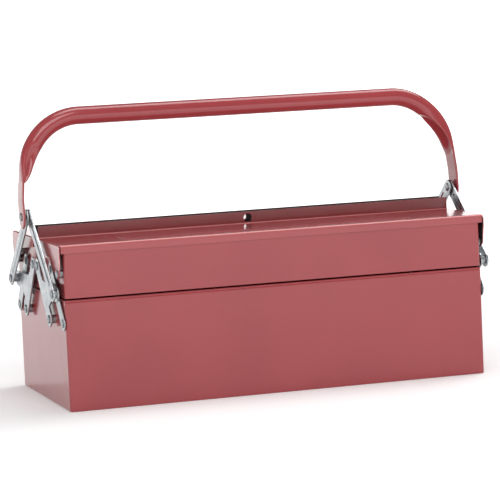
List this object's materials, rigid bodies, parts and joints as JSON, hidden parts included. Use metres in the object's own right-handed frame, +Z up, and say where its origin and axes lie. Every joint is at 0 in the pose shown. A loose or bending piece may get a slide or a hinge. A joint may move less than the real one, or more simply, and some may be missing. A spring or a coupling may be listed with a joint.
{
  "type": "toolbox with tray",
  "caption": "Cantilever toolbox in red folded sheet steel: a deep box, lidded trays that swing out on zinc-plated links, and a tubular bail handle.",
  "frame": {"origin": "middle of the box's base, on the surface that it stands on", "axes": "+X along the length to the right, +Y from front to back, +Z up"},
  "size_m": [0.4658, 0.203, 0.288],
  "materials": {
    "red_paint": "satin powder coat, pinkish red",
    "zinc_plate": "bright zinc plate, slightly mottled",
    "rivet_steel": "zinc-plated rivets, darker and worn"
  },
  "bodies": {
    "box": {"lower_box": "red_paint", "box_rivets": "rivet_steel", "box_spacers": "rivet_steel"},
    "front_cranks": {"front_left_crank": "zinc_plate", "front_right_crank": "zinc_plate", "front_crank_rivets": "rivet_steel", "front_crank_spacers": "rivet_steel"},
    "rear_cranks": {"rear_left_crank": "zinc_plate", "rear_right_crank": "zinc_plate", "rear_crank_rivets": "rivet_steel", "rear_crank_spacers": "rivet_steel"},
    "front_links": {"front_left_link": "zinc_plate", "front_right_link": "zinc_plate"},
    "rear_links": {"rear_left_link": "zinc_plate", "rear_right_link": "zinc_plate"},
    "front_tray": {"front_tray": "red_paint", "front_tray_rivets": "rivet_steel", "front_tray_spacers": "rivet_steel", "front_lid_rivets": "rivet_steel", "front_lid_spacers": "rivet_steel"},
    "rear_tray": {"rear_tray": "red_paint", "rear_tray_rivets": "rivet_steel", "rear_tray_spacers": "rivet_steel", "rear_lid_rivets": "rivet_steel", "rear_lid_spacers": "rivet_steel"},
    "front_lid": {"front_lid": "red_paint"},
    "rear_lid": {"rear_lid": "red_paint"},
    "front_lift_links": {"front_left_lift_link": "zinc_plate", "front_right_lift_link": "zinc_plate", "front_apex_rivet": "rivet_steel"},
    "rear_lift_links": {"rear_left_lift_link": "zinc_plate", "rear_right_lift_link": "zinc_plate", "rear_apex_rivet": "rivet_steel"},
    "handle_pivot": {"handle_rivets": "rivet_steel"},
    "handle": {"handle": "red_paint"}
  },
  "joints": [
    {"name": "open_trays", "type": "hinge", "parent": "box", "child": "front_cranks", "pos_m": [0, -0.0504, 0.0853], "axis": [1, 0, 0], "range_deg": [0, 78]},
    {"name": "rear_crank_turn", "type": "hinge", "parent": "box", "child": "rear_cranks", "pos_m": [0, 0.0504, 0.0853], "axis": [-1, 0, 0], "range_deg": [0, 78]},
    {"name": "front_link_turn", "type": "hinge", "parent": "box", "child": "front_links", "pos_m": [0, -0.0936, 0.0853], "axis": [1, 0, 0], "range_deg": [0, 78]},
    {"name": "rear_link_turn", "type": "hinge", "parent": "box", "child": "rear_links", "pos_m": [0, 0.0936, 0.0853], "axis": [-1, 0, 0], "range_deg": [0, 78]},
    {"name": "front_tray_level", "type": "hinge", "parent": "front_cranks", "child": "front_tray", "pos_m": [0, -0.0098, 0.134], "axis": [1, 0, 0], "range_deg": [-78, 0]},
    {"name": "rear_tray_level", "type": "hinge", "parent": "rear_cranks", "child": "rear_tray", "pos_m": [0, 0.0098, 0.134], "axis": [-1, 0, 0], "range_deg": [-78, 0]},
    {"name": "front_lift_link_turn", "type": "hinge", "parent": "front_cranks", "child": "front_lift_links", "pos_m": [0, -0.08537, 0.11362], "axis": [1, 0, 0], "range_deg": [-78, 0]},
    {"name": "rear_lift_link_turn", "type": "hinge", "parent": "rear_cranks", "child": "rear_lift_links", "pos_m": [0, 0.08537, 0.11362], "axis": [-1, 0, 0], "range_deg": [-78, 0]},
    {"name": "handle_lower", "type": "slide", "parent": "box", "child": "handle_pivot", "axis": [0, 0, -1], "range_m": [0, 0.05664]},
    {"name": "handle_swing", "type": "hinge", "parent": "handle_pivot", "child": "handle", "pos_m": [0, 0, 0.1824], "axis": [1, 0, 0], "range_deg": [-49, 60]},
    {"name": "front_lid_hinge", "type": "hinge", "parent": "front_tray", "child": "front_lid", "pos_m": [0, -0.09, 0.133], "axis": [1, 0, 0], "range_deg": [0, 120]},
    {"name": "rear_lid_hinge", "type": "hinge", "parent": "rear_tray", "child": "rear_lid", "pos_m": [0, 0.09, 0.133], "axis": [-1, 0, 0], "range_deg": [0, 120]}
  ],
  "couplings": [
    {"joint": "rear_crank_turn", "follows": "open_trays", "ratio": 1},
    {"joint": "front_link_turn", "follows": "open_trays", "ratio": 1},
    {"joint": "rear_link_turn", "follows": "open_trays", "ratio": 1},
    {"joint": "front_tray_level", "follows": "open_trays", "ratio": -1},
    {"joint": "rear_tray_level", "follows": "open_trays", "ratio": -1},
    {"joint": "front_lift_link_turn", "follows": "open_trays", "ratio": -1},
    {"joint": "rear_lift_link_turn", "follows": "open_trays", "ratio": -1},
    {"joint": "handle_lower", "follows": "open_trays", "m_per_rad": 0.041604}
  ]
}
